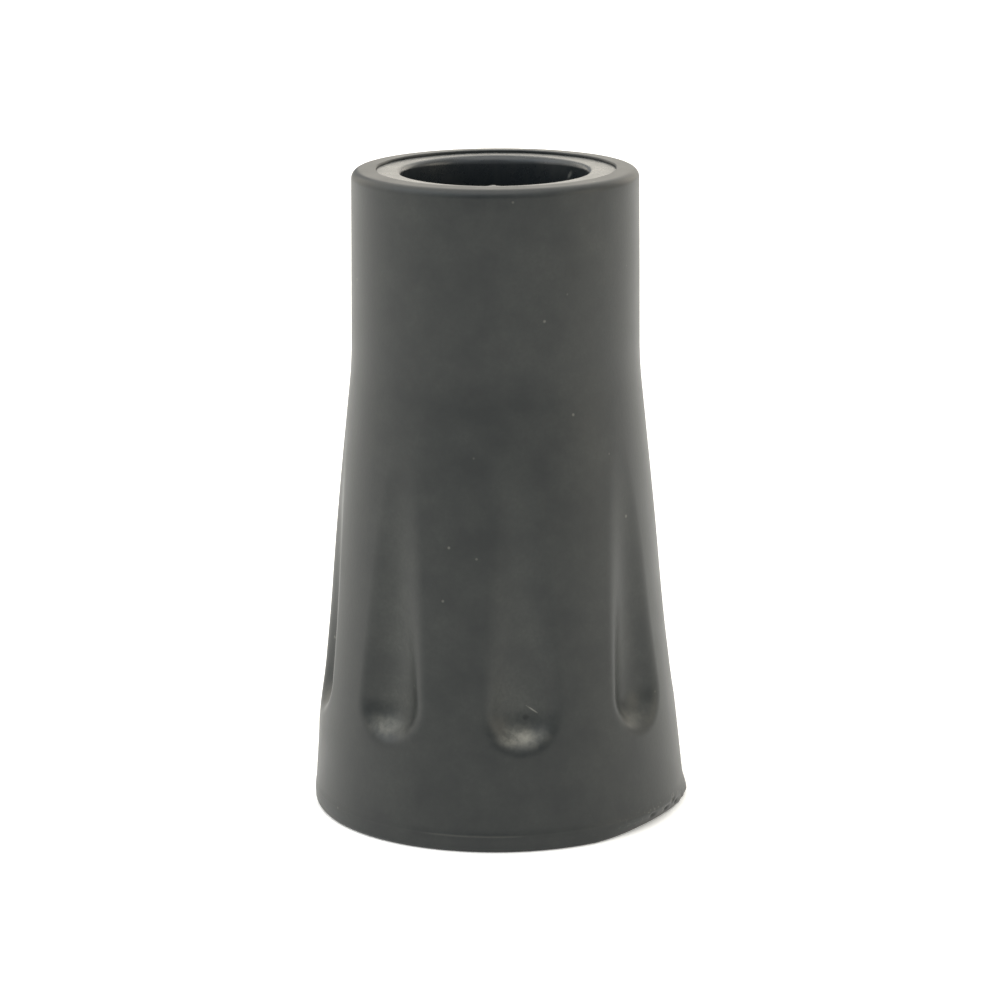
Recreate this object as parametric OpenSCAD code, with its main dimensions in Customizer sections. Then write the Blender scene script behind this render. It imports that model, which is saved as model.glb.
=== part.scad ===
// Rubber walking tip for a trekking pole: a flared rubber boot moulded round a
// hard plastic liner that grips the pole end, with a steel disc under the bore.
// Millimetres. Origin at the centre of the ground face, +Z along the pole.

/* [Overall] */
// Height from the ground face to the top of the rubber rim
height = 38; // [34:0.5:44]
// Diameter of the ground face, over its rounded edge
foot_d = 22.4; // [21.5:0.1:25]

/* [Pole socket] */
// Diameter of the bore that grips the pole end
bore_d = 10.9; // [9.5:0.1:11.5]
// Height of the bore's floor above the ground face
bore_floor_z = 8; // [6.5:0.25:12]

/* [Liner] */
// Wall of the plastic liner
liner_wall = 1.7; // [1.2:0.1:2]
// How far the liner's end sits below the rubber rim
liner_recess = 0.2; // [0.1:0.05:0.6]
// Rounding of the bore's mouth
mouth_round = 0.3; // [0.1:0.05:0.6]
// How far the locking flange at the liner's foot stands out
flange_out = 0.65; // [0.3:0.05:0.8]
// Height of the locking flange
flange_h = 1.2; // [0.8:0.1:2]

/* [Steel disc] */
// Diameter of the disc under the bore
disc_d = 13.2; // [12.4:0.1:14]
// Thickness of the disc
disc_t = 1; // [0.6:0.1:1.5]

/* [Collar] */
// Rubber wall round the liner at the rim
rim_wall = 1.2; // [0.9:0.05:1.6]
// Length of the straight collar, from the rim down to the shoulder
collar_h = 11.4; // [8:0.2:14]
// Growth of the collar's radius from the rim to the shoulder, for mould release
collar_draft = 0.1; // [0.05:0.01:0.3]
// Fall of the rim's top from the lip out to its rounded edge, in degrees
rim_fall = 9; // [0:1:14]
// Rounding of the rim's outer edge
rim_round = 0.45; // [0.2:0.05:0.7]
// Rounding of the rim's inner edge, above the liner
lip_round = 0.12; // [0.04:0.02:0.3]
// Blend radius where the collar meets the flared skirt
shoulder_round = 25; // [10:1:60]

/* [Foot] */
// Height of the foot ring, up to the mould's parting line
foot_ring_h = 1; // [0.7:0.1:2]
// Step from the foot ring in to the skirt at the parting line
parting_step = 0.06; // [0.02:0.01:0.2]
// Rounding of the foot ring's lower edge
foot_round = 0.25; // [0.1:0.05:0.5]

/* [Flutes] */
// Number of flutes round the skirt
flute_count = 8; // [6:1:9]
// Radius of a flute's scooped section
flute_r = 2.5; // [2.1:0.1:2.9]
// Rubber left between a flute's floor and the liner
flute_floor_wall = 2.1; // [1.7:0.05:2.4]
// Height of the flutes' lower ends above the ground face
flute_foot_z = 6; // [5:0.25:9]

/* [Tread] */
// Number of ring grooves in the ground face
tread_rings = 3; // [1:1:3]
// Radius of the innermost groove's middle
tread_first_r = 3.2; // [2.4:0.1:3.6]
// Spacing of the grooves
tread_pitch = 2.6; // [2:0.1:2.7]
// Width of a groove at the ground face
tread_w = 1.2; // [0.8:0.1:1.4]
// Depth of a groove
tread_depth = 1; // [0.5:0.1:1.5]

/* [Worn nick] */
// Direction of the nick in the foot's edge, from +X
nick_angle = -22.5; // [-180:0.5:180]
// Depth of the nick at the ground face
nick_depth = 0.2; // [0.05:0.05:0.5]
// Lean of the broken face from the vertical
nick_lean = 18; // [10:1:40]

/* [Hidden] */
round_fn = 120;
blend_fn = 720;
over = 1;

bore_r = bore_d / 2;
liner_r = bore_r + liner_wall;
liner_top = height - liner_recess;
flange_r = liner_r + flange_out;
rim_r = liner_r + rim_wall;
foot_r = foot_d / 2;

// The rim's outer rounding touches the collar and the falling top of the rim.
rim_centre = [
    rim_r - rim_round,
    height - (rim_wall - rim_round - lip_round) * tan(rim_fall) - rim_round / cos(rim_fall)
];

// The skirt is a cone between the shoulder and the parting line.
shoulder_r = rim_r + collar_draft;
shoulder_z = height - collar_h;
skirt_r = foot_r - parting_step;
skirt_slope = (skirt_r - shoulder_r) / (shoulder_z - foot_ring_h);
skirt_angle = atan(skirt_slope);
draft_angle = atan(collar_draft / (rim_centre[1] - shoulder_z));

// The shoulder blend touches the skirt and the collar this far from their corner.
blend_len = shoulder_round * tan((skirt_angle - draft_angle) / 2);

// A flute's scoop runs up the pole's direction at this radius, with a ball end below.
flute_axis_r = liner_r + flute_floor_wall + flute_r;
flute_lip_gap = flute_axis_r - skirt_r_at(flute_foot_z);
flute_ball_z = flute_foot_z + sqrt(max(0, pow(flute_r, 2) - pow(flute_lip_gap, 2)));

tread_taper = 0.2;

function skirt_r_at(z) = skirt_r - skirt_slope * (z - foot_ring_h);

// Outside of the boot, as a half section: x is the radius, y is the height.
module boot_outline() {
    polygon([
        [0, 0],
        [foot_r - foot_round, 0],
        [foot_r, foot_round],
        [foot_r, foot_ring_h],
        [skirt_r, foot_ring_h],
        [shoulder_r, shoulder_z],
        [rim_r, rim_centre[1]],
        rim_centre + rim_round * [sin(rim_fall), cos(rim_fall)],
        [liner_r + lip_round, height],
        [0, height]
    ]);
    translate([foot_r - foot_round, foot_round])
        circle(r = foot_round, $fn = round_fn);
    translate(rim_centre)
        circle(r = rim_round, $fn = round_fn);
    shoulder_blend();
}

// Fills the corner between the skirt and the collar up to a tangent circle.
module shoulder_blend() {
    low = [shoulder_r + blend_len * sin(skirt_angle), shoulder_z - blend_len * cos(skirt_angle)];
    high = [shoulder_r - blend_len * sin(draft_angle), shoulder_z + blend_len * cos(draft_angle)];
    centre = high + shoulder_round * [cos(draft_angle), sin(draft_angle)];
    difference() {
        polygon([low, high, [shoulder_r - over, shoulder_z]]);
        translate(centre)
            circle(r = shoulder_round, $fn = blend_fn);
    }
}

// Half section of the hollow that the liner and the disc fill.
module insert_pocket() {
    translate([0, bore_floor_z])
        square([liner_r, height - bore_floor_z + over]);
    translate([0, bore_floor_z])
        square([flange_r, flange_h]);
    translate([0, bore_floor_z - disc_t])
        square([disc_d / 2, disc_t + over / 2]);
    difference() {
        translate([liner_r - over, height - lip_round])
            square([over + lip_round, lip_round + over]);
        translate([liner_r + lip_round, height - lip_round])
            circle(r = lip_round, $fn = round_fn);
    }
}

// Half section of the ring grooves in the ground face, each with leaning walls.
module tread_grooves() {
    for (ring = [0 : tread_rings - 1])
        translate([tread_first_r + ring * tread_pitch, 0])
            polygon([
                [-tread_w / 2, -over],
                [-tread_w / 2, 0],
                [-tread_w / 2 + tread_taper, tread_depth],
                [tread_w / 2 - tread_taper, tread_depth],
                [tread_w / 2, 0],
                [tread_w / 2, -over]
            ]);
}

// The round-ended scoop that forms one flute, upright on its ball end. It is half
// turned, so that the seam of its round surface stays outside the rubber.
module flute_scoop() {
    rotate([0, 0, 180])
        rotate_extrude($fn = round_fn) {
            square([flute_r, shoulder_z - flute_ball_z]);
            intersection() {
                circle(r = flute_r, $fn = round_fn);
                translate([0, -flute_r])
                    square(flute_r);
            }
        }
}

// A leaning block whose inner face breaks the foot's edge.
module edge_nick() {
    rotate([0, 0, nick_angle])
        translate([foot_r - nick_depth, 0, 0])
            rotate([0, nick_lean, 0])
                translate([0, -foot_r / 2, -foot_ring_h])
                    cube([foot_ring_h * 2, foot_r, foot_ring_h * 4]);
}

module rubber_boot() {
    color("#3d403f")
        difference() {
            rotate_extrude($fn = round_fn)
                difference() {
                    boot_outline();
                    insert_pocket();
                    tread_grooves();
                }
            for (i = [0 : flute_count - 1])
                rotate([0, 0, i * 360 / flute_count])
                    translate([flute_axis_r, 0, flute_ball_z])
                        flute_scoop();
            edge_nick();
        }
}

module pole_liner() {
    color("#2a2c2d")
        rotate_extrude($fn = round_fn) {
            translate([bore_r, bore_floor_z])
                square([liner_wall, liner_top - mouth_round - bore_floor_z]);
            translate([bore_r + mouth_round, liner_top - mouth_round])
                square([liner_wall - mouth_round, mouth_round]);
            intersection() {
                translate([bore_r + mouth_round, liner_top - mouth_round])
                    circle(r = mouth_round, $fn = round_fn);
                translate([bore_r, liner_top - mouth_round])
                    square(mouth_round);
            }
            translate([bore_r, bore_floor_z])
                square([liner_wall + flange_out, flange_h]);
        }
}

module steel_disc() {
    color("silver")
        translate([0, 0, bore_floor_z - disc_t])
            cylinder(h = disc_t, d = disc_d, $fn = round_fn);
}

rubber_boot();
pole_liner();
steel_disc();
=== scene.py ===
import math

import bpy
import numpy as np
from mathutils import Matrix, Vector


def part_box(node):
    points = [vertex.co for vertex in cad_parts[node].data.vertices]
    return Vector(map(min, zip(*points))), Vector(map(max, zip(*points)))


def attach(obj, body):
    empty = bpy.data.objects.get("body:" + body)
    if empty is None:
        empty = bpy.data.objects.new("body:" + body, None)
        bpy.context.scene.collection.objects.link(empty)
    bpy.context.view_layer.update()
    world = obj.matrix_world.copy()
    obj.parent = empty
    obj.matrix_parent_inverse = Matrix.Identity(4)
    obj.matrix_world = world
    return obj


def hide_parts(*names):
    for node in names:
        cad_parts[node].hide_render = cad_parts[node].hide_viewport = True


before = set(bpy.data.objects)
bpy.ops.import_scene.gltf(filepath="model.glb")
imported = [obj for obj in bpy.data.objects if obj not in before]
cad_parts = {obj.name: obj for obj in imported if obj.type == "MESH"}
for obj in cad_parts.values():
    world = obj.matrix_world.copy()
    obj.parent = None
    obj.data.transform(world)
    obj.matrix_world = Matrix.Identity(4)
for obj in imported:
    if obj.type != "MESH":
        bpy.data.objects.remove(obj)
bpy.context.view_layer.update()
mm = 0.001  # lengths are written in millimetres and turned to metres
tiny = 0.0001 * mm  # points closer than this count as one
fanRadius = 0.4 * mm  # flat ends close with a fan of faces inside this radius
crispAngle = 42  # edges that turn by more degrees than this stay crisp

# sizes that come from the frame
bootLow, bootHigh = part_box("rubber_boot")
linerLow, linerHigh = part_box("pole_liner")
discLow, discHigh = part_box("steel_disc")
topZ = bootHigh[2]
footRadius = min(bootHigh[0], bootHigh[1], -bootLow[0], -bootLow[1])
print("frame: height %.1f mm, foot %.1f mm across" % (topZ / mm, 2 * footRadius / mm))


def fromHex(text):
    # sRGB hex to linear: c / 12.92 below 0.04045, otherwise ((c + 0.055) / 1.055) ^ 2.4
    parts = [int(text[i:i + 2], 16) / 255 for i in (1, 3, 5)]
    return [c / 12.92 if c <= 0.04045 else ((c + 0.055) / 1.055) ** 2.4 for c in parts] + [1.0]


def addNode(tree, kind, inputs=None, **settings):
    node = tree.nodes.new(kind)
    for name, value in settings.items():
        setattr(node, name, value)
    for name, value in (inputs or {}).items():
        if isinstance(value, bpy.types.NodeSocket):
            tree.links.new(value, node.inputs[name])
        else:
            node.inputs[name].default_value = value
    return node


def arc(centre, radius, start, end, count):
    # points at centre + radius * (cos a, sin a), a going evenly from start to end in degrees
    a = np.radians(np.linspace(start, end, count))
    return np.column_stack([centre[0] + radius * np.cos(a), centre[1] + radius * np.sin(a)])


def straight(start, end, count):
    # evenly spaced points from start to end
    t = np.linspace(0, 1, count)[:, None]
    return np.array(start) * (1 - t) + np.array(end) * t


def joined(*stretches):
    # stretches end to end, without the points that repeat
    points = np.vstack(stretches)
    keep = np.r_[True, np.hypot(*np.diff(points, axis=0).T) > tiny]
    return points[keep]


def evenAngles(count):
    # one row of angles, even round the axis
    return np.linspace(0, 2 * math.pi, count, endpoint=False)[None, :]


def aside(angles, direction):
    # degrees between each angle and a direction, -180 to 180
    return (np.degrees(angles) - direction + 180) % 360 - 180


def bell(distance, half):
    # 1 at no distance, 1 / e at half: e ^ -(distance / half) ^ 2
    return np.exp(-(distance / half) ** 2)


def hump(distance, reach):
    # 1 at no distance, 0 from its reach on: (1 - (distance / reach) ^ 2) ^ 1.5
    return np.clip(1 - (distance / reach) ** 2, 0, 1) ** 1.5


def fade(height, reach, power):
    # 1 at the ground, 0 from its reach up: (1 - height / reach) ^ power
    return np.clip(1 - height / reach, 0, 1) ** power


def smoothMax(a, b, softness):
    # the larger of a and b, with a round changeover as wide as softness
    overlap = np.maximum(softness - np.abs(a - b), 0) / softness
    return np.maximum(a, b) + overlap ** 2 * softness / 4


def turnedMesh(name, radius, height, angles, poles):
    # rows of points (radius * cos angle, radius * sin angle, height), closed round the axis;
    # poles gives a height for a closing point before the first row and after the last, or None
    rows, columns = radius.shape
    points = np.stack([radius * np.cos(angles), radius * np.sin(angles), height], axis=-1).reshape(-1, 3)
    grid = np.arange(rows * columns).reshape(rows, columns)
    after = np.roll(grid, -1, axis=1)
    faces = np.stack([grid[:-1], after[:-1], after[1:], grid[1:]], axis=-1).reshape(-1, 4).tolist()
    if poles:
        low, high = len(points), len(points) + 1
        points = np.vstack([points, [0, 0, poles[0]], [0, 0, poles[1]]])
        faces += np.column_stack([after[0], grid[0], np.full(columns, low)]).tolist()
        faces += np.column_stack([grid[-1], after[-1], np.full(columns, high)]).tolist()
    else:
        faces += np.stack([grid[-1], after[-1], after[0], grid[0]], axis=-1).tolist()
    mesh = bpy.data.meshes.new(name)
    mesh.from_pydata(points.tolist(), [], faces)
    mesh.update()
    mesh.shade_smooth()
    mesh.set_sharp_from_angle(angle=math.radians(crispAngle))
    piece = bpy.data.objects.new(name, mesh)
    bpy.context.collection.objects.link(piece)
    return piece


def saveShare(piece, name, values):
    # a number for each point of a turned mesh, with 0 at the poles, for its material to read
    spare = len(piece.data.vertices) - values.size
    layer = piece.data.attributes.new(name, "FLOAT", "POINT")
    layer.data.foreach_set("value", np.r_[values.ravel(), np.zeros(spare)].astype(np.float32))


cameraView = {
    "azimuth": -7.8,  # degrees round from -Y
    "distance": 198.9 * mm,  # along the floor, to the part's axis
    "height": 66.77 * mm,
    "aside": 0.235 * mm,
    "pitch": 13.75,  # degrees down from level
    "roll": -0.34,
    "lens": 124.3,  # millimetres, as the sensor's width
    "sensor": 36,
}

studio = {
    "floorColour": "#fbfaf7",
    "floorGlow": 0.22,  # the table is lit faintly from below, so that contact shadows stay soft
    "floorRoughness": 0.9,
    "floorGloss": 0.1,
    "floorSize": 8.0,  # metres, as the boxes' sizes and distance
    "skyColour": "#f6f8fa",
    "skyStrength": 0.54,
    "boxDistance": 2.0,
    # azimuth from the camera's side and elevation in degrees, size, radiance and colour
    "softboxes": {
        "overhead": (0, 84, 1.8, 1.92, "#fffefa"),
        "front": (0, 55, 1.1, 0.15, "#f6faff"),
        "frontLeft": (-45, 45, 1.3, 0.8, "#e6f4ff"),
        "frontRight": (45, 45, 1.3, 0.48, "#f0f8ff"),
        "highLeft": (-90, 45, 1.3, 1.79, "#f8fcff"),
        "highRight": (90, 45, 1.3, 0.51, "#fff6e4"),
        "highBackLeft": (-135, 45, 1.3, 0.94, "#fffbf2"),
        "highBackRight": (135, 45, 1.3, 0.86, "#fffbf2"),
        "highBack": (178, 45, 1.3, 1.28, "#fffbf2"),
        "lowFrontLeft": (-75, 16, 1.0, 1.22, "#fffaf2"),
        "lowFrontRight": (75, 16, 1.0, 1.77, "#fff5e0"),
        "lowLeft": (-108, 16, 1.0, 1.1, "#fff9ec"),
        "lowRight": (95, 16, 1.0, 0.85, "#fff5e0"),
        "lowBackLeft": (-140, 16, 1.0, 1.3, "#fff6e4"),
        "lowBackRight": (140, 16, 1.0, 2.0, "#fff6e4"),
        "back": (173, 16, 1.0, 1.28, "#fff6e4"),
    },
}


def placeCamera():
    turn = math.radians(cameraView["azimuth"])
    away = Vector((math.sin(turn), -math.cos(turn), 0))
    right = Vector((math.cos(turn), math.sin(turn), 0))
    data = bpy.data.cameras.new("view")
    data.lens = cameraView["lens"]
    data.sensor_width = cameraView["sensor"]
    camera = bpy.data.objects.new("view", data)
    bpy.context.collection.objects.link(camera)
    place = away * cameraView["distance"] + right * cameraView["aside"]
    place.z = cameraView["height"]
    tilt = Matrix.Rotation(math.radians(90 - cameraView["pitch"]), 4, "X")
    roll = Matrix.Rotation(math.radians(cameraView["roll"]), 4, "Z")
    camera.matrix_world = Matrix.Translation(place) @ Matrix.Rotation(turn, 4, "Z") @ tilt @ roll
    bpy.context.scene.camera = camera


def makeSoftbox(name, azimuth, elevation, size, radiance, colour):
    # a square panel facing the part; its power is pi * area * radiance
    turn = math.radians(azimuth + cameraView["azimuth"])
    rise = math.radians(elevation)
    away = Vector((math.sin(turn) * math.cos(rise), -math.cos(turn) * math.cos(rise), math.sin(rise)))
    light = bpy.data.lights.new(name, "AREA")
    light.size = size
    light.energy = math.pi * size * size * radiance
    light.color = fromHex(colour)[:3]
    box = bpy.data.objects.new(name, light)
    bpy.context.collection.objects.link(box)
    box.location = away * studio["boxDistance"] + Vector((0, 0, topZ / 2))
    box.rotation_euler = (-away).to_track_quat("-Z", "Y").to_euler()


def makeFloor():
    half = studio["floorSize"] / 2
    corners = [(-half, -half, 0), (half, -half, 0), (half, half, 0), (-half, half, 0)]
    mesh = bpy.data.meshes.new("floor")
    mesh.from_pydata(corners, [], [(0, 1, 2, 3)])
    floor = bpy.data.objects.new("floor", mesh)
    bpy.context.collection.objects.link(floor)
    paper = bpy.data.materials.new("matt_paper_sweep")
    paper.use_nodes = True
    shader = paper.node_tree.nodes["Principled BSDF"]
    shader.inputs["Base Color"].default_value = fromHex(studio["floorColour"])
    shader.inputs["Roughness"].default_value = studio["floorRoughness"]
    shader.inputs["Specular IOR Level"].default_value = studio["floorGloss"]
    shader.inputs["Emission Color"].default_value = fromHex(studio["floorColour"])
    shader.inputs["Emission Strength"].default_value = studio["floorGlow"]
    mesh.materials.append(paper)


def lightStudio():
    world = bpy.data.worlds.new("soft_white_tent")
    world.use_nodes = True
    background = world.node_tree.nodes["Background"]
    background.inputs["Color"].default_value = fromHex(studio["skyColour"])
    background.inputs["Strength"].default_value = studio["skyStrength"]
    bpy.context.scene.world = world
    bpy.context.scene.view_settings.view_transform = "Standard"
    for name, values in studio["softboxes"].items():
        makeSoftbox(name, *values)


placeCamera()
makeFloor()
lightStudio()
print("camera and studio placed")


# the rubber boot: directions, spreads and leans are degrees, and directions are counted round from +X
bootShape = {
    "footRing": 1.0 * mm,  # up to the parting line
    "footRound": 0.25 * mm,
    "partingStep": 0.06 * mm,
    "partingEase": (0.45 * mm, 0.9 * mm),  # height where the step's easing starts, and its length
    "partingTop": 1.45 * mm,
    "partingRows": 34,
    # heights on the skirt between which the rows are even, closest at the flutes' feet, and their rows
    "skirtHeights": (1.5 * mm, 5.3 * mm, 9.3 * mm, 22.5 * mm),
    "skirtRows": (12, 42, 40, 8),
    "columns": 448,
    "shoulderRound": 25 * mm,
    "collarLength": 11.4 * mm,
    "collarDraft": 0.1 * mm,
    "rimWall": 1.2 * mm,
    "rimFall": 2,
    "rimRound": 0.52 * mm,
    "lipRound": 0.08 * mm,
    "lipOver": 0.2 * mm,  # how far the lip has crept over the liner's end
    "lipDrop": 0.19 * mm,  # from the top down to the liner's end
    "pocketWall": 1.0 * mm,  # the pocket's plain wall starts this far down
    "flangeOut": 0.65 * mm,
    "flangeHeight": 1.2 * mm,
    "grooveRadii": (3.2 * mm, 5.8 * mm, 8.4 * mm),
    "grooveWidth": 1.2 * mm,
    "grooveDepth": 1.0 * mm,
    "grooveTaper": 0.2 * mm,
    "grooveRound": 0.12 * mm,
    "flutes": {
        "count": 8,
        "radius": 2.5 * mm,
        "floorWall": 2.1 * mm,  # rubber between a flute's floor and the liner
        "foot": 6.0 * mm,
        "softness": 0.5 * mm,
        "deepest": 2.4 * mm,  # no flute or nick cuts further in than this
        "above": 4.0 * mm,  # the flutes keep above this height, and the foot's wear below it
    },
    "nick": {
        "direction": -22.5,
        "depth": 0.2 * mm,
        "lean": 18,
        "softness": 0.06 * mm,
        "ragged": 0.02 * mm,
        "waves": ((60, 0.14 * mm, 0), (113, -0.1 * mm, 1)),  # count round the foot, height, phase
    },
    # what use has done, with around and upward the powers by which it fades
    "wear": {
        "turn": -7.8,  # the worn front faces this far round from -Y
        "waist": {"height": 11.5 * mm, "half": 4.0 * mm, "depth": 0.07 * mm},
        "drawnIn": {"direction": 172.2, "depth": 0.2 * mm, "reach": 4.8 * mm, "around": 6, "upward": 0.7},
        "edge": {"direction": -41.5, "spread": 26, "depth": 0.5 * mm, "reach": 0.9 * mm, "upward": 1.3},
        "footLip": {"direction": -12, "spread": 12, "height": 0.3 * mm, "half": 0.6 * mm, "out": 0.17 * mm},
        # it stands a little bowed: heights, and the shifts to the worn front's right there, in millimetres
        "bow": {"heights": (0, 6, 10, 14, 24, 33, 38), "shifts": (0, 0, -0.03, -0.045, -0.01, 0.03, 0.04)},
        "pits": {
            "places": ((-29.6, 0.78 * mm), (-34.0, 0.55 * mm), (-25.5, 0.45 * mm), (-43.0, 0.62 * mm)),
            "spread": 1.2,
            "half": 0.15 * mm,
            "depth": 0.14 * mm,
        },
        # the mould's flash on the parting line: clear about one direction, a share of that elsewhere
        "flash": {"out": 0.03 * mm, "half": 0.05 * mm, "direction": -105.5, "spread": 14, "elsewhere": 0.12},
        "rimLow": {"fall": 0.1 * mm, "start": 0.6 * mm, "reach": 3.0 * mm},  # in front, down to its reach
        "lip": {
            "aside": 0.075 * mm,  # to the worn front's right
            "ragged": 0.02 * mm,
            "waves": ((5, 1.1, 1), (11, 2.0, 0.8), (23, 0.4, 0.6)),  # count round the rim, phase, share
        },
        # dust and a painted highlight where the flutes' floors turn up at their feet, the highlight thickest
        # in the front and left flutes
        "dustAndHighlight": {
            "height": 6.35 * mm,
            "half": 0.5 * mm,
            "elsewhere": 0.16,
            "thickest": ((-93, 22, 0.68), (-144, 6.5, 0.95)),  # direction, spread and share
        },
        "torn": {
            "direction": -31.5,
            "spread": 35,
            "most": 0.9,
            "height": 0.72 * mm,
            "half": 0.45 * mm,
            "share": 0.6,
            "inDents": 12,  # for each millimetre that a dent is deep
        },
    },
}
flutes, nick, wear = (bootShape[name] for name in ("flutes", "nick", "wear"))

linerRadius = linerHigh[0] - bootShape["flangeOut"]
lipRadius = linerRadius - bootShape["lipOver"]
rimRadius = linerRadius + bootShape["rimWall"]
roundingRadius = rimRadius - bootShape["rimRound"]  # out to the middle of the rim's rounding
shoulderRadius = rimRadius + bootShape["collarDraft"]
shoulderZ = topZ - bootShape["collarLength"]
skirtRadius = footRadius - bootShape["partingStep"]
skirtSlope = (skirtRadius - shoulderRadius) / (shoulderZ - bootShape["footRing"])


def skirtPoint(z):
    # radius and height on the skirt's cone
    return (skirtRadius - skirtSlope * (z - bootShape["footRing"]), z)


def partingRows():
    # the ring eases into the skirt: ring * (1 - t) + skirt * t, with t = u * u * (3 - 2 * u) up the step
    start, length = bootShape["partingEase"]
    z = np.linspace(bootShape["footRound"], bootShape["partingTop"], bootShape["partingRows"])
    u = np.clip((z - start) / length, 0, 1)
    t = u * u * (3 - 2 * u)
    return np.column_stack([footRadius * (1 - t) + skirtPoint(z)[0] * t, z])


def outsideProfile():
    # radius and height from the foot's edge up the ring, the skirt, the blend and the collar to the rim
    s = bootShape
    fall = math.radians(s["rimFall"])
    lipOuter = lipRadius + s["lipRound"]
    roundingZ = topZ - (roundingRadius - lipOuter) * math.tan(fall) - s["rimRound"] / math.cos(fall)
    rim = arc((roundingRadius, roundingZ), s["rimRound"], 0, 90 - s["rimFall"], 10)
    # the blend's circle touches the skirt and the collar, each this far from their corner
    skirtAngle = math.atan(skirtSlope)
    draftAngle = math.atan(s["collarDraft"] / (roundingZ - shoulderZ))
    reach = s["shoulderRound"] * math.tan((skirtAngle - draftAngle) / 2)
    touch = (shoulderRadius + reach * math.sin(skirtAngle), shoulderZ - reach * math.cos(skirtAngle))
    middle = (touch[0] + s["shoulderRound"] * math.cos(skirtAngle),
              touch[1] + s["shoulderRound"] * math.sin(skirtAngle))
    ends = [180 + math.degrees(angle) for angle in (skirtAngle, draftAngle)]
    blend = arc(middle, s["shoulderRound"], *ends, 8)
    stops = [skirtPoint(z) for z in s["skirtHeights"]] + [touch]
    skirt = [straight(low, high, rows) for low, high, rows in zip(stops, stops[1:], s["skirtRows"])]
    return joined(
        arc((footRadius - s["footRound"], s["footRound"]), s["footRound"], -90, 0, 6),
        partingRows(),
        *skirt,
        blend,
        straight(blend[-1], (rimRadius, roundingZ), 9),
        rim,
        straight(rim[-1], (lipOuter, topZ), 6),
    )


def hollowProfile():
    # radius and height from the rim's inner lip down the pocket to the disc's seat
    s = bootShape
    lipZ = topZ - s["lipRound"]
    endZ = topZ - s["lipDrop"]
    floorZ = linerLow[2]
    flangeZ = floorZ + s["flangeHeight"]
    return joined(
        arc((lipRadius + s["lipRound"], lipZ), s["lipRound"], 90, 180, 6),
        straight((lipRadius, lipZ), (lipRadius, endZ), 3),
        straight((lipRadius, endZ), (linerRadius, endZ), 3),
        straight((linerRadius, topZ - s["pocketWall"]), (linerRadius, flangeZ), 4),
        straight((linerHigh[0], flangeZ), (linerHigh[0], floorZ), 2),
        straight((discHigh[0], floorZ), (discHigh[0], discLow[2]), 2),
        straight((discHigh[0], discLow[2]), (fanRadius, discLow[2]), 2),
    )


def groundProfile():
    # radius and height of the ground face from near the axis out; each groove is one leaning side and
    # its mirror image, with its corners rounded
    s = bootShape
    half, r = s["grooveWidth"] / 2, s["grooveRound"]
    floorHalf = half - s["grooveTaper"]
    side = np.array([
        (-half - r, 0),
        (-half - 0.3 * r, 0.25 * r),
        (-half, r),
        (-floorHalf, s["grooveDepth"] - r),
        (-floorHalf + r, s["grooveDepth"]),
    ])
    groove = np.vstack([side, side[::-1] * (-1, 1)])
    grooves = [groove + (middle, 0) for middle in s["grooveRadii"]]
    return joined([(fanRadius, 0)], *grooves, straight(grooves[-1][-1], (footRadius - s["footRound"], 0), 7))


def rightward(angles):
    # the cosine of the angle from the right of the worn front: 1 there, -1 on the left
    return np.cos(angles - math.radians(wear["turn"]))


def backward(angles):
    # the sine of the same angle: 1 at the back, -1 in front
    return np.sin(angles - math.radians(wear["turn"]))


def flashShare(height, angles):
    # 0 to 1: a narrow bell about the parting line, times a flat-topped one about the flash's direction
    flash = wear["flash"]
    around = np.exp(-(aside(angles, flash["direction"]) / flash["spread"]) ** 6)
    shown = flash["elsewhere"] + (1 - flash["elsewhere"]) * around
    return shown * bell(height - bootShape["footRing"], flash["half"])


def worn(radius, height, angles):
    # the land's radius after wear: less a bell-shaped waist, less one side drawn in by a power of the
    # cosine, less a bevel that fades round the worn edge, plus the bow, plus the foot's lip, less the
    # pits, plus the ridge of flash
    waist, drawn, edge = (wear[name] for name in ("waist", "drawnIn", "edge"))
    lip, bow, pits = (wear[name] for name in ("footLip", "bow", "pits"))
    radius = radius - waist["depth"] * bell(height - waist["height"], waist["half"])
    facing = np.clip(np.cos(np.radians(aside(angles, drawn["direction"]))), 0, 1) ** drawn["around"]
    radius = radius - drawn["depth"] * facing * fade(height, drawn["reach"], drawn["upward"])
    near = hump(aside(angles, edge["direction"]), edge["spread"])
    radius = radius - edge["depth"] * near * fade(height, edge["reach"], edge["upward"])
    radius = radius + np.interp(height / mm, bow["heights"], bow["shifts"]) * mm * rightward(angles)
    near = hump(aside(angles, lip["direction"]), lip["spread"])
    radius = radius + lip["out"] * near * bell(height - lip["height"], lip["half"])
    for direction, middle in pits["places"]:
        near = bell(aside(angles, direction), pits["spread"])
        radius = radius - pits["depth"] * near * bell(height - middle, pits["half"])
    radius = radius + wear["flash"]["out"] * flashShare(height, angles)
    # the foot keeps within the square round it
    return np.minimum(radius, footRadius / np.maximum(np.abs(np.cos(angles)), np.abs(np.sin(angles))))


def rimLowered(height, angles):
    # the rim falls towards the front: fall * (1 + cosine) / 2, growing over its reach
    low = wear["rimLow"]
    share = np.clip(1 + (height - topZ + low["start"]) / low["reach"], 0, 1)
    return height - low["fall"] * share * (1 - backward(angles)) / 2


def endTilt(angles):
    # how far the liner's end, which stands a touch out of square, is raised
    return linerShape["outOfSquare"] * backward(angles)


def lipShift(angles):
    # how far the lip's inner edge lies off its circle
    lip = wear["lip"]
    waves = sum(share * np.sin(count * angles + phase) for count, phase, share in lip["waves"])
    return lip["aside"] * rightward(angles) + lip["ragged"] * waves


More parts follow.
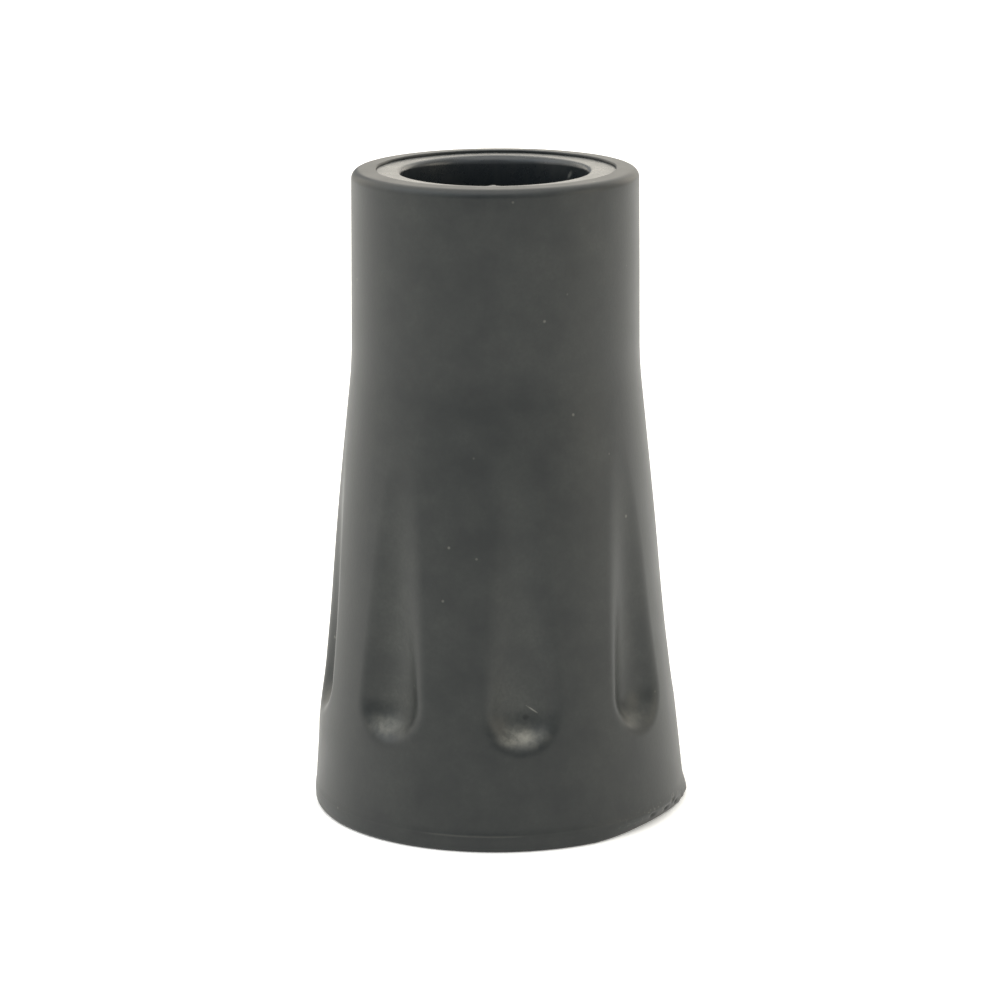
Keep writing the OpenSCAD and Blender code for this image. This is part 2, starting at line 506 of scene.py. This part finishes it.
def nickDistance(radius, height, angles):
    # how far a point is outside the leaning, ragged plane that broke the foot's edge
    lean = math.radians(nick["lean"])
    out = radius * np.cos(angles - math.radians(nick["direction"])) - (footRadius - nick["depth"])
    ragged = sum(np.sin(count * angles + height / length + phase) for count, length, phase in nick["waves"])
    return out * math.cos(lean) - height * math.sin(lean) + nick["ragged"] * ragged


def carved(radius, height, angles):
    # the radius at which the ray at each angle leaves the rubber: the land, a flute's scoop or the nick,
    # whichever comes first. Each is a signed distance, joined by smoothMax and solved by halving.
    pitch = 2 * math.pi / flutes["count"]
    offCentre = (angles + pitch / 2) % pitch - pitch / 2
    axisRadius = linerRadius + flutes["floorWall"] + flutes["radius"]
    gap = axisRadius - skirtPoint(flutes["foot"])[0]
    ballZ = flutes["foot"] + math.sqrt(flutes["radius"] ** 2 - gap ** 2)
    below = np.minimum(height - ballZ, 0)
    low = np.maximum(radius - flutes["deepest"], 0)
    high = radius + 0.1 * mm  # just outside the land
    for _ in range(34):  # the last halving is far finer than a micrometre
        middle = (low + high) / 2
        side = middle * np.sin(offCentre)
        ahead = middle * np.cos(offCentre) - axisRadius
        scoop = flutes["radius"] - np.sqrt(side ** 2 + ahead ** 2 + below ** 2)
        outside = smoothMax(middle - radius, scoop, flutes["softness"])
        outside = smoothMax(outside, nickDistance(middle, height, angles), nick["softness"])
        low = np.where(outside < 0, middle, low)
        high = np.where(outside < 0, high, middle)
    return (low + high) / 2


def outsideSurface(angles):
    # the land, the carved radius and the height at each row and angle; the rim's top follows the lip's
    # shift, all of it at the lip and none at the rim's rounding
    profile = outsideProfile()
    height = profile[:, 1:] + 0 * angles
    land = worn(profile[:, :1] + 0 * angles, height, angles)
    near = np.clip((roundingRadius - profile[:, :1]) / (roundingRadius - lipRadius), 0, 1)
    return land, carved(land, height, angles) + near * lipShift(angles), height


def groundSurface(angles, edge):
    # the ground face, whose outer band is drawn in with the foot's edge where that is worn or broken
    profile = groundProfile()[:-1]
    inner = bootShape["grooveRadii"][-1] + bootShape["grooveWidth"]
    whole = footRadius - bootShape["footRound"]
    share = np.clip((profile[:, :1] - inner) / (whole - inner), 0, 1)
    return profile[:, :1] + share * (edge - whole), profile[:, 1:] + 0 * angles


def hollowSurface(angles):
    # the pocket; the lip's rows follow its shift, and its underside the tilt of the liner's end too
    profile = hollowProfile()[1:]
    endZ = topZ - bootShape["lipDrop"]
    inLip = profile[:, 1:] > endZ + tiny
    under = ~inLip & (profile[:, 1:] > endZ - tiny)
    across = np.clip((linerRadius - profile[:, :1]) / (linerRadius - lipRadius), 0, 1)
    radius = profile[:, :1] + (inLip + under * across) * lipShift(angles)
    height = profile[:, 1:] + under * across * endTilt(angles)
    return radius, np.where(inLip, rimLowered(height, angles), height)


def wearShares(land, radius, height, angles):
    # for the material: how deep the outside is sunk, in millimetres, how much dust and painted highlight it
    # has at the flutes' feet, and how torn and rubbed it is
    dustAndHighlight, torn = wear["dustAndHighlight"], wear["torn"]
    depth = (land - radius) / mm
    inFlutes = height > flutes["above"]
    sunk = np.where(inFlutes, depth, 0)
    facing = dustAndHighlight["elsewhere"] + sum(share * bell(aside(angles, direction), spread)
                                     for direction, spread, share in dustAndHighlight["thickest"])
    near = np.clip(torn["most"] - np.abs(aside(angles, torn["direction"])) / torn["spread"], 0, 1)
    crumbs = torn["share"] * near * bell(height - torn["height"], torn["half"])
    return {
        "sunk": sunk,
        # dust and a painted highlight where the flutes' floors turn up at their feet
        "dustAndHighlightShare": sunk * facing * bell(height - dustAndHighlight["height"], dustAndHighlight["half"]),
        "torn": np.clip(np.where(inFlutes, 0, torn["inDents"] * depth) + crumbs, 0, 1),
        "rubbed": flashShare(height, angles),
    }


def makeBoot():
    angles = evenAngles(bootShape["columns"])
    land, outRadius, outHeight = outsideSurface(angles)
    groundRadius, groundHeight = groundSurface(angles, outRadius[:1])
    hollowRadius, hollowHeight = hollowSurface(angles)
    radius = np.vstack([groundRadius, outRadius, hollowRadius])
    height = np.vstack([groundHeight, rimLowered(outHeight, angles), hollowHeight])
    boot = turnedMesh("boot_skin", radius, height, angles, (0, discLow[2]))
    for name, values in wearShares(land, outRadius, outHeight, angles).items():
        saveShare(boot, name, np.vstack([0 * groundRadius, values, 0 * hollowRadius]))
    print("boot: %d rows, %d faces" % (len(radius), len(boot.data.polygons)))
    return boot


# the hard plastic liner that the boot is moulded round
linerShape = {
    "wall": 1.7 * mm,
    "outOfSquare": 0.05 * mm,  # how far the end rises at the back and falls in front
    "tilted": 1.0 * mm,  # down from the end
    "mouthRound": 0.3 * mm,
    "mouthWorn": 1.7,  # the rounding's growth where the pole has worn it, front and back
    "cornerRound": 0.08 * mm,
    "nib": {"direction": -98.5, "spread": 2.4, "rise": 0.08 * mm, "half": 0.16 * mm},  # left by the gate
    "columns": 360,
}


def linerProfile(bore, top):
    # radius and height from the bore's foot out round the flange, up the wall, over the end and down the
    # bore, whose last row closes onto the first
    s = linerShape
    floorZ = linerLow[2]
    flangeZ = floorZ + bootShape["flangeHeight"]
    c, r = s["cornerRound"], s["mouthRound"]
    return joined(
        straight((bore, floorZ), (linerHigh[0], floorZ), 3),
        straight((linerHigh[0], floorZ), (linerHigh[0], flangeZ), 3),
        straight((linerHigh[0], flangeZ), (linerRadius, flangeZ), 3),
        straight((linerRadius, flangeZ), (linerRadius, top - c), 14),
        arc((linerRadius - c, top - c), c, 0, 90, 5),
        straight((linerRadius - c, top), (bore + r, top), 7),
        arc((bore + r, top - r), r, 90, 180, 9),
        straight((bore, top - r), (bore, floorZ), 25)[:-1],
    )


def makeLiner():
    s = linerShape
    bore = linerRadius - s["wall"]
    top = linerHigh[2]
    profile = linerProfile(bore, top)
    angles = evenAngles(s["columns"])
    radius = profile[:, :1] + 0 * angles
    height = profile[:, 1:] + 0 * angles
    # the mouth's rounding grows by the sine's fourth power, and the flat end gives way to it
    grow = 1 + (s["mouthWorn"] - 1) * backward(angles) ** 4
    mouthRadius, mouthZ = bore + s["mouthRound"], top - s["mouthRound"]
    inMouth = (profile[:, :1] < mouthRadius + tiny) & (profile[:, 1:] > mouthZ - tiny)
    onEnd = (profile[:, 1:] > top - tiny) & ~inMouth
    radius = np.where(inMouth, bore + (radius - bore) * grow, radius)
    radius = np.where(onEnd, np.maximum(radius, bore + s["mouthRound"] * grow), radius)
    height = np.where(inMouth, top - (top - height) * grow, height)
    height = height + (profile[:, 1:] > top - s["tilted"]) * endTilt(angles)
    # the nib is a bell about its direction times a bell across the end's inner edge
    nib = s["nib"]
    across = bell(radius - mouthRadius, nib["half"]) * (height > mouthZ)
    height = height + nib["rise"] * across * bell(aside(angles, nib["direction"]), nib["spread"])
    liner = turnedMesh("liner_tube", radius, height, angles, None)
    print("liner: %d faces" % len(liner.data.polygons))
    return liner


# the steel disc that the pole's point stands on
discShape = {
    "edgeRound": 0.12 * mm,
    "columns": 160,
}


def makeDisc():
    # a plate turned from radius and height out along its underside, round the edge and back in on top
    radius, low, high = discHigh[0], discLow[2], discHigh[2]
    c = discShape["edgeRound"]
    profile = joined(
        straight((fanRadius, low), (radius - c, low), 5),
        arc((radius - c, low + c), c, -90, 0, 5),
        arc((radius - c, high - c), c, 0, 90, 5),
        straight((radius - c, high), (fanRadius, high), 14),
    )
    angles = evenAngles(discShape["columns"])
    across, up = profile[:, :1] + 0 * angles, profile[:, 1:] + 0 * angles
    disc = turnedMesh("disc_plate", across, up, angles, (low, high))
    print("disc: %d faces" % len(disc.data.polygons))
    return disc


def newMaterial(name):
    # a material, its node tree and shader, and the place on the piece that its patterns read
    material = bpy.data.materials.new(name)
    material.use_nodes = True
    tree = material.node_tree
    place = addNode(tree, "ShaderNodeTexCoord").outputs["Object"]
    return material, tree, tree.nodes["Principled BSDF"], place


def wireShader(tree, shader, colour, shine, roughness, relief, bump):
    # the colour, a roughness that one pattern varies, and a bump that another raises
    (low, high), (strength, depth) = roughness, bump
    rough = addNode(tree, "ShaderNodeMapRange", {
        "Value": shine, "From Min": 0.3, "From Max": 0.7, "To Min": low, "To Max": high}).outputs["Result"]
    raised = addNode(tree, "ShaderNodeBump", {
        "Height": relief, "Strength": strength, "Distance": depth}).outputs["Normal"]
    for name, value in (("Base Color", colour), ("Roughness", rough), ("Normal", raised)):
        tree.links.new(value, shader.inputs[name])


def marked(tree, place, grain, colour, marks):
    # each mark is the inside of an ellipsoid about its middle, broken up by the grain
    for middle, half, slant, paint, strength in marks:
        turned = addNode(tree, "ShaderNodeMapping", {
            "Vector": place, "Location": middle, "Rotation": (0, math.radians(slant), 0), "Scale": half},
            vector_type="TEXTURE").outputs["Vector"]
        within = addNode(tree, "ShaderNodeVectorMath", {0: turned}, operation="LENGTH").outputs["Value"]
        within = addNode(tree, "ShaderNodeMath", {0: within, 1: grain}, operation="ADD").outputs[0]
        share = addNode(tree, "ShaderNodeMapRange", {
            "Value": within, "From Min": 0.9, "From Max": 1.5, "To Min": strength, "To Max": 0.0})
        colour = addNode(tree, "ShaderNodeMix", {
            0: share.outputs["Result"], 6: colour, 7: fromHex(paint)}, data_type="RGBA").outputs[2]
    return colour


rubberFinish = {
    "black": "#151919",
    # this grey is the wax bloom, and is also painted into the flutes as light
    "bloomAndFluteLight": "#4b4d48",  # the pale film of wax
    # pale dust, also the colour of the painted highlight at the flutes' feet
    "dustAndHighlight": "#b9b6a8",
    "roughness": (0.39, 0.45),
    "ior": 1.47,
    "bloomSize": 2.4 * mm,  # width of a cloud
    "paleGreyShare": 0.16,
    # painted light: the flutes are painted paler in proportion to their depth
    "paintedLightInFlutes": 0.3,  # for each millimetre of a flute's depth
    "grainSize": 0.22 * mm,  # coarser than the mould's real grain, so that it shows
    "bump": (0.35, 0.012 * mm),  # strength and depth
    "dustAndHighlightPatchSize": 0.6 * mm,  # width of a patch
    "speckSpacing": 1.9 * mm,
    "speckRadius": 0.12 * mm,
    "speckShare": 0.13,
    "crumbShare": 0.4,
    "rubbedShare": 0.05,
    # a scored line, and a painted shadow as a dark spot just above the front flute's foot: middle, half sizes
    # along its own axes, slant about Y, colour and share
    "marks": (
        ((0.72 * mm, -9.35 * mm, 8.0 * mm), (0.42 * mm, 1.2 * mm, 0.06 * mm), 33, "#a09f95", 0.35),
        # painted shadow: a dark spot where the front flute's floor turns in above its foot
        ((0.35 * mm, -9.4 * mm, 7.55 * mm), (0.26 * mm, 1.2 * mm, 0.2 * mm), 0, "#0d0f0f", 0.6),
    ),
}


def paleGreyShare(tree, cloud, grain):
    # wax bloom in clouds, and painted light in the flutes, paler the deeper they are sunk; varied a little by
    # the grain
    f = rubberFinish
    clouded = addNode(tree, "ShaderNodeMapRange", {
        "Value": cloud, "From Min": 0.35, "From Max": 0.7,
        "To Min": 0.0, "To Max": f["paleGreyShare"]}).outputs["Result"]
    sunk = addNode(tree, "ShaderNodeAttribute", attribute_name="sunk").outputs["Fac"]
    # painted light: paler in the flutes in proportion to their depth
    inFlute = addNode(tree, "ShaderNodeMath", {0: sunk, 1: cloud}, operation="MULTIPLY").outputs[0]
    bloomAndFluteLight = addNode(tree, "ShaderNodeMath", {0: inFlute, 1: f["paintedLightInFlutes"], 2: clouded},
                    operation="MULTIPLY_ADD").outputs[0]
    grained = addNode(tree, "ShaderNodeMapRange", {
        "Value": grain, "From Min": 0.3, "From Max": 0.7, "To Min": 0.75, "To Max": 1.25}).outputs["Result"]
    return addNode(tree, "ShaderNodeMath", {0: bloomAndFluteLight, 1: grained}, operation="MULTIPLY",
                   use_clamp=True).outputs[0]


def paleShare(tree, place, grain):
    # dust specks, crumbs on the torn edge, the rubbed flash, and dust with a painted highlight at the flutes'
    # feet
    f = rubberFinish
    dustAndHighlightShare, torn, rubbed = [
        addNode(tree, "ShaderNodeAttribute", attribute_name=name).outputs["Fac"]
        for name in ("dustAndHighlightShare", "torn", "rubbed")]
    # specks are the cores of scattered cells, kept in about half of them
    cells = addNode(tree, "ShaderNodeTexVoronoi", {"Vector": place, "Scale": 1 / f["speckSpacing"]})
    core = f["speckRadius"] / f["speckSpacing"]
    speck = addNode(tree, "ShaderNodeMapRange", {
        "Value": cells.outputs["Distance"], "From Min": 0.5 * core, "From Max": core,
        "To Min": f["speckShare"], "To Max": 0.0}).outputs["Result"]
    chance = addNode(tree, "ShaderNodeSeparateColor", {"Color": cells.outputs["Color"]}).outputs["Red"]
    kept = addNode(tree, "ShaderNodeMath", {0: chance, 1: 0.5}, operation="GREATER_THAN").outputs[0]
    speck = addNode(tree, "ShaderNodeMath", {0: speck, 1: kept}, operation="MULTIPLY").outputs[0]
    # crumbs lie where the grain is high
    crumb = addNode(tree, "ShaderNodeMapRange", {
        "Value": grain, "From Min": 0.58, "From Max": 0.68,
        "To Min": 0.0, "To Max": f["crumbShare"]}).outputs["Result"]
    crumb = addNode(tree, "ShaderNodeMath", {0: crumb, 1: torn}, operation="MULTIPLY").outputs[0]
    pale = addNode(tree, "ShaderNodeMath", {0: speck, 1: crumb}, operation="MAXIMUM").outputs[0]
    pale = addNode(tree, "ShaderNodeMath", {0: rubbed, 1: f["rubbedShare"], 2: pale},
                   operation="MULTIPLY_ADD").outputs[0]
    # the dust and painted highlight at the flutes' feet lie in mottled patches
    patchy = addNode(tree, "ShaderNodeTexNoise", {
        "Vector": place, "Scale": 1 / f["dustAndHighlightPatchSize"], "Detail": 4.0, "Roughness": 0.6}).outputs["Fac"]
    mottle = addNode(tree, "ShaderNodeMapRange", {
        "Value": patchy, "From Min": 0.35, "From Max": 0.65, "To Min": 0.3, "To Max": 0.85}).outputs["Result"]
    return addNode(tree, "ShaderNodeMath", {0: dustAndHighlightShare, 1: mottle, 2: pale}, operation="MULTIPLY_ADD",
                   use_clamp=True).outputs[0]


def mouldedRubber():
    # natural rubber filled with carbon black, pressed hot in a steel mould: near black and half matt, with a
    # grey bloom in soft clouds, painted light deeper in the flutes, dust and a painted highlight at the
    # flutes' feet, a few specks, a painted shadow spot in the front flute, and the mould's fine grain
    f = rubberFinish
    material, tree, shader, place = newMaterial("vulcanised_rubber_moulded")
    cloud = addNode(tree, "ShaderNodeTexNoise", {
        "Vector": place, "Scale": 1 / f["bloomSize"], "Detail": 5.0, "Roughness": 0.62}).outputs["Fac"]
    grain = addNode(tree, "ShaderNodeTexNoise", {
        "Vector": place, "Scale": 1 / f["grainSize"], "Detail": 3.0, "Roughness": 0.6}).outputs["Fac"]
    colour = addNode(tree, "ShaderNodeMix", {
        0: paleGreyShare(tree, cloud, grain), 6: fromHex(f["black"]), 7: fromHex(f["bloomAndFluteLight"])},
        data_type="RGBA").outputs[2]
    colour = addNode(tree, "ShaderNodeMix", {
        0: paleShare(tree, place, grain), 6: colour, 7: fromHex(f["dustAndHighlight"])}, data_type="RGBA").outputs[2]
    colour = marked(tree, place, grain, colour, f["marks"])
    wireShader(tree, shader, colour, cloud, f["roughness"], grain, f["bump"])
    shader.inputs["IOR"].default_value = f["ior"]
    return material


nylonFinish = {
    "black": "#1e2326",
    "scuffed": "#343532",
    "scuffShare": 0.25,
    "roughness": (0.24, 0.33),
    "ior": 1.53,
    "scuffSize": 1.3 * mm,
    "drawSize": (0.35 * mm, 9.0 * mm),  # width and length of the draw marks down the bore
    "bump": (0.2, 0.006 * mm),  # strength and depth
    # a painted glint in the bore, a pale streak on its far wall near the mouth: middle, half sizes along its
    # own axes, slant about Y, colour and share
    "marks": (
        ((4.8 * mm, 2.5 * mm, 37.0 * mm), (0.09 * mm, 0.5 * mm, 0.36 * mm), 20, "#9a9a94", 0.3),
    ),
}


def mouldedNylon():
    # glass-filled nylon, injection moulded: deep black with a dull gloss, scuffed grey where it has been
    # handled, with faint marks down the bore where the core pin was drawn, and a painted glint on the bore's
    # far wall
    f = nylonFinish
    material, tree, shader, place = newMaterial("glass_filled_nylon_moulded")
    scuff = addNode(tree, "ShaderNodeTexNoise", {
        "Vector": place, "Scale": 1 / f["scuffSize"], "Detail": 5.0, "Roughness": 0.65}).outputs["Fac"]
    width, length = f["drawSize"]
    stretched = addNode(tree, "ShaderNodeMapping", {
        "Vector": place, "Scale": (1 / width, 1 / width, 1 / length)}).outputs["Vector"]
    drawn = addNode(tree, "ShaderNodeTexNoise", {
        "Vector": stretched, "Scale": 1.0, "Detail": 2.0}).outputs["Fac"]
    handled = addNode(tree, "ShaderNodeMath", {0: scuff, 1: drawn}, operation="MULTIPLY").outputs[0]
    share = addNode(tree, "ShaderNodeMapRange", {
        "Value": handled, "From Min": 0.2, "From Max": 0.42,
        "To Min": 0.0, "To Max": f["scuffShare"]}).outputs["Result"]
    colour = addNode(tree, "ShaderNodeMix", {
        0: share, 6: fromHex(f["black"]), 7: fromHex(f["scuffed"])}, data_type="RGBA").outputs[2]
    colour = marked(tree, place, scuff, colour, f["marks"])
    wireShader(tree, shader, colour, scuff, f["roughness"], drawn, f["bump"])
    shader.inputs["IOR"].default_value = f["ior"]
    return material


steelFinish = {
    "zinc": "#a9abab",
    "dull": "#77797a",
    "roughness": (0.3, 0.55),
    "patchSize": 1.1 * mm,
    "rollSize": (3.0 * mm, 0.12 * mm),  # length and width of the rolling marks, coarser than the real ones
    "bump": (0.3, 0.01 * mm),  # strength and depth
}


def zincPlatedSteel():
    # mild steel punched from strip and zinc plated: a soft grey shine, dulled in patches, with fine marks
    # all one way from the rolling
    f = steelFinish
    material, tree, shader, place = newMaterial("zinc_plated_steel_punched")
    patch = addNode(tree, "ShaderNodeTexNoise", {
        "Vector": place, "Scale": 1 / f["patchSize"], "Detail": 4.0}).outputs["Fac"]
    length, width = f["rollSize"]
    along = addNode(tree, "ShaderNodeMapping", {
        "Vector": place, "Scale": (1 / length, 1 / width, 1 / width)}).outputs["Vector"]
    rolled = addNode(tree, "ShaderNodeTexNoise", {
        "Vector": along, "Scale": 1.0, "Detail": 2.0}).outputs["Fac"]
    share = addNode(tree, "ShaderNodeMapRange", {
        "Value": patch, "From Min": 0.4, "From Max": 0.65, "To Min": 0.0, "To Max": 1.0}).outputs["Result"]
    colour = addNode(tree, "ShaderNodeMix", {
        0: share, 6: fromHex(f["zinc"]), 7: fromHex(f["dull"])}, data_type="RGBA").outputs[2]
    wireShader(tree, shader, colour, rolled, f["roughness"], rolled, f["bump"])
    shader.inputs["Metallic"].default_value = 1.0
    return material


for make, finish, node, slot in (
    (makeBoot, mouldedRubber, "rubber_boot", "moulded_rubber"),
    (makeLiner, mouldedNylon, "pole_liner", "liner_plastic"),
    (makeDisc, zincPlatedSteel, "steel_disc", "disc_steel"),
):
    piece = make()
    piece.data.materials.append(finish())
    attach(piece, "root")
    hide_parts(node)
print("pieces made and finished")
